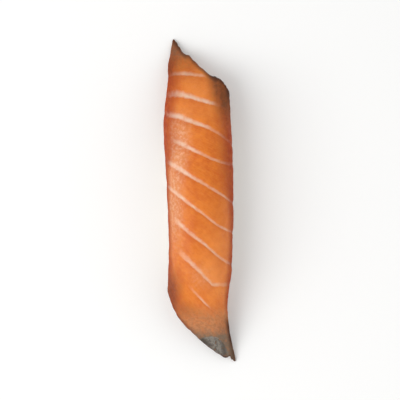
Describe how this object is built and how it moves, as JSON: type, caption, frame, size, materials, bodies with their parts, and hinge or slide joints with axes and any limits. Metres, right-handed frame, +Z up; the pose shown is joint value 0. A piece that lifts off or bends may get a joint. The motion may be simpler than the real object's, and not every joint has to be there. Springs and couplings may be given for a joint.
{
  "type": "salmon nigiri sushi",
  "caption": "Nigiri sushi: a long slant-cut slice of raw salmon with pale fat lines, draped over a pressed finger of white rice.",
  "frame": {"origin": "middle of the rice's flat base, on the table", "axes": "+Y along the piece, towards the tip that is at the picture's top; +X across it, towards the picture's right; +Z up"},
  "size_m": [0.0258, 0.1156, 0.0247],
  "materials": {
    "salmon": "wet raw salmon, orange flesh with pale fat lines",
    "rice": "pressed cooked white rice with a faint sheen"
  },
  "bodies": {
    "root": {"salmon_slice": "salmon", "rice_finger": "rice"}
  },
  "joints": []
}
